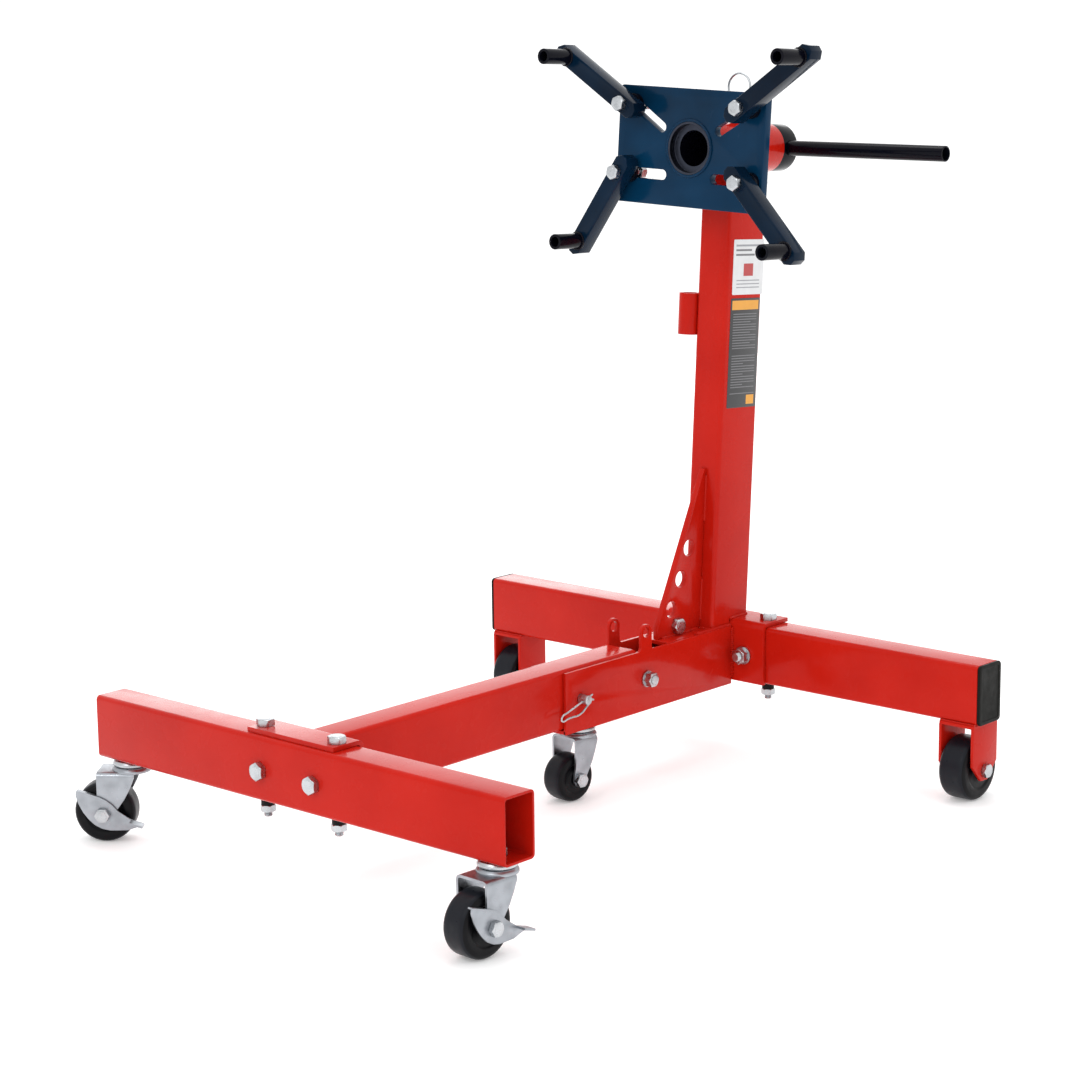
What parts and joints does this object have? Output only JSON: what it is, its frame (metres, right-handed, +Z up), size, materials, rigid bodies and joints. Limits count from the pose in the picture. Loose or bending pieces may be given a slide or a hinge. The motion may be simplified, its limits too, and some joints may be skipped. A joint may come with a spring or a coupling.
{
  "type": "engine stand",
  "caption": "Folding engine stand: H-shaped tube base on casters, leaning column, and a rotating head plate with adjustable arms and a turning handle.",
  "frame": {"origin": "middle of the stand's footprint, on the floor the wheels stand on", "axes": "+Z up; +Y towards the rear, where the column stands; +X to the right seen from the front"},
  "size_m": [0.8184, 0.9528, 0.9293],
  "materials": {
    "red_paint": "gloss red powder coat",
    "navy_paint": "gloss blue-black paint",
    "black_paint": "gloss black paint",
    "zinc_plate": "bright zinc plate",
    "wheel_black": "satin black caster wheel",
    "cap_plastic": "fine matt black plastic"
  },
  "bodies": {
    "rear_frame": {"rear_channel": "red_paint", "channel_cover": "red_paint", "rear_bracket": "red_paint", "rear_crossbar": "red_paint", "column": "red_paint", "gusset": "red_paint", "head_sleeve": "red_paint", "handle_holder": "red_paint", "index_barrel": "black_paint", "rear_fork_left": "red_paint", "rear_fork_right": "red_paint", "rear_axle_left": "zinc_plate", "rear_axle_right": "zinc_plate", "crossbar_cap_left": "cap_plastic", "crossbar_cap_right": "cap_plastic", "rear_face_bolt_left": "zinc_plate", "rear_face_bolt_right": "zinc_plate", "rear_flange_bolt_left": "zinc_plate", "rear_flange_bolt_right": "zinc_plate", "gusset_bolt": "zinc_plate", "pivot_bolt": "zinc_plate", "caster_cup_middle": "zinc_plate"},
    "leg": {"leg_tube": "red_paint", "leg_bracket": "red_paint", "front_crossbar": "red_paint", "front_face_bolt_left": "zinc_plate", "front_face_bolt_right": "zinc_plate", "front_flange_bolt_left": "zinc_plate", "front_flange_bolt_right": "zinc_plate", "caster_cup_front_left": "zinc_plate", "caster_cup_front_right": "zinc_plate"},
    "head": {"face_plate": "navy_paint", "head_shaft": "black_paint", "head_hub": "black_paint"},
    "handle": {"handle": "black_paint"},
    "index_pin": {"index_pin": "zinc_plate", "index_ring": "zinc_plate"},
    "lock_pin": {"lock_pin": "zinc_plate", "lock_pin_clip": "zinc_plate"},
    "carriage_upper_left": {"arm_bolt_upper_left": "zinc_plate"},
    "arm_upper_left": {"arm_upper_left": "navy_paint"},
    "carriage_upper_right": {"arm_bolt_upper_right": "zinc_plate"},
    "arm_upper_right": {"arm_upper_right": "navy_paint"},
    "carriage_lower_left": {"arm_bolt_lower_left": "zinc_plate"},
    "arm_lower_left": {"arm_lower_left": "navy_paint"},
    "carriage_lower_right": {"arm_bolt_lower_right": "zinc_plate"},
    "arm_lower_right": {"arm_lower_right": "navy_paint"},
    "fork_front_left": {"caster_fork_front_left": "zinc_plate", "caster_axle_front_left": "zinc_plate"},
    "wheel_front_left": {"caster_wheel_front_left": "wheel_black"},
    "brake_front_left": {"brake_lever_front_left": "zinc_plate"},
    "fork_front_right": {"caster_fork_front_right": "zinc_plate", "caster_axle_front_right": "zinc_plate"},
    "wheel_front_right": {"caster_wheel_front_right": "wheel_black"},
    "brake_front_right": {"brake_lever_front_right": "zinc_plate"},
    "fork_middle": {"caster_fork_middle": "zinc_plate", "caster_axle_middle": "zinc_plate"},
    "wheel_middle": {"caster_wheel_middle": "wheel_black"},
    "rear_wheel_left": {"rear_wheel_left": "wheel_black"},
    "rear_wheel_right": {"rear_wheel_right": "wheel_black"}
  },
  "joints": [
    {"name": "leg_fold", "type": "hinge", "parent": "rear_frame", "child": "leg", "pos_m": [0, 0.16452, 0.1375], "axis": [-1, 0, 0], "range_deg": [0, 85]},
    {"name": "lock_pin_slide", "type": "slide", "parent": "rear_frame", "child": "lock_pin", "axis": [1, 0, 0], "range_m": [0, 0.065]},
    {"name": "head_rotation", "type": "hinge", "parent": "rear_frame", "child": "head", "pos_m": [0, 0.35725, 0.79495], "axis": [0, -0.999, 0.0436], "continuous": true},
    {"name": "index_pin_lift", "type": "slide", "parent": "rear_frame", "child": "index_pin", "axis": [0, 0.0436, 0.999], "range_m": [0, 0.012], "stiffness_N_per_m": 400, "springref_m": -0.01},
    {"name": "handle_slide", "type": "slide", "parent": "head", "child": "handle", "axis": [1, 0, 0], "range_m": [-0.1, 0.1]},
    {"name": "slot_slide_upper_left", "type": "slide", "parent": "head", "child": "carriage_upper_left", "axis": [-0.8346, 0.024, 0.5504], "range_m": [-0.052, 0.01128]},
    {"name": "arm_swing_upper_left", "type": "hinge", "parent": "carriage_upper_left", "child": "arm_upper_left", "pos_m": [-0.08853, 0.27021, 0.85304], "axis": [0, -0.999, 0.0436], "range_deg": [-45, 45]},
    {"name": "slot_slide_upper_right", "type": "slide", "parent": "head", "child": "carriage_upper_right", "axis": [0.871, 0.0214, 0.4909], "range_m": [-0.06, 0.00328]},
    {"name": "arm_swing_upper_right", "type": "hinge", "parent": "carriage_upper_right", "child": "arm_upper_right", "pos_m": [0.09907, 0.2701, 0.85066], "axis": [0, -0.999, 0.0436], "range_deg": [-45, 45]},
    {"name": "slot_slide_lower_left", "type": "slide", "parent": "head", "child": "carriage_lower_left", "axis": [-0.9994, 0.0015, 0.0349], "range_m": [-0.0515, 0.00849]},
    {"name": "arm_swing_lower_left", "type": "hinge", "parent": "carriage_lower_left", "child": "arm_lower_left", "pos_m": [-0.0947, 0.26641, 0.76617], "axis": [0, -0.999, 0.0436], "range_deg": [-45, 45]},
    {"name": "slot_slide_lower_right", "type": "slide", "parent": "head", "child": "carriage_lower_right", "axis": [0.9994, -0.0015, -0.0349], "range_m": [-0.059, 0.00099]},
    {"name": "arm_swing_lower_right", "type": "hinge", "parent": "carriage_lower_right", "child": "arm_lower_right", "pos_m": [0.09968, 0.26612, 0.75938], "axis": [0, -0.999, 0.0436], "range_deg": [-45, 45]},
    {"name": "swivel_front_left", "type": "hinge", "parent": "leg", "child": "fork_front_left", "pos_m": [-0.298, -0.40698, 0.077], "axis": [0, 0, 1], "continuous": true},
    {"name": "wheel_spin_front_left", "type": "hinge", "parent": "fork_front_left", "child": "wheel_front_left", "pos_m": [-0.32322, -0.42668, 0.037], "axis": [0.6157, -0.788, 0], "continuous": true},
    {"name": "brake_front_left", "type": "hinge", "parent": "fork_front_left", "child": "brake_front_left", "pos_m": [-0.32322, -0.42668, 0.037], "axis": [0.6157, -0.788, 0], "range_deg": [-12, 8]},
    {"name": "swivel_front_right", "type": "hinge", "parent": "leg", "child": "fork_front_right", "pos_m": [0.298, -0.40698, 0.077], "axis": [0, 0, 1], "continuous": true},
    {"name": "wheel_spin_front_right", "type": "hinge", "parent": "fork_front_right", "child": "wheel_front_right", "pos_m": [0.29688, -0.43896, 0.037], "axis": [0.9994, -0.0349, 0], "continuous": true},
    {"name": "brake_front_right", "type": "hinge", "parent": "fork_front_right", "child": "brake_front_right", "pos_m": [0.29688, -0.43896, 0.037], "axis": [0.9994, -0.0349, 0], "range_deg": [-12, 8]},
    {"name": "swivel_middle", "type": "hinge", "parent": "rear_frame", "child": "fork_middle", "pos_m": [0, 0.06402, 0.07], "axis": [0, 0, 1], "continuous": true},
    {"name": "wheel_spin_middle", "type": "hinge", "parent": "fork_middle", "child": "wheel_middle", "pos_m": [-0.00188, 0.04612, 0.03], "axis": [0.9945, -0.1045, 0], "continuous": true},
    {"name": "rear_wheel_spin_left", "type": "hinge", "parent": "rear_frame", "child": "rear_wheel_left", "pos_m": [-0.377, 0.37002, 0.04], "axis": [1, 0, 0], "continuous": true},
    {"name": "rear_wheel_spin_right", "type": "hinge", "parent": "rear_frame", "child": "rear_wheel_right", "pos_m": [0.377, 0.37002, 0.04], "axis": [1, 0, 0], "continuous": true}
  ]
}
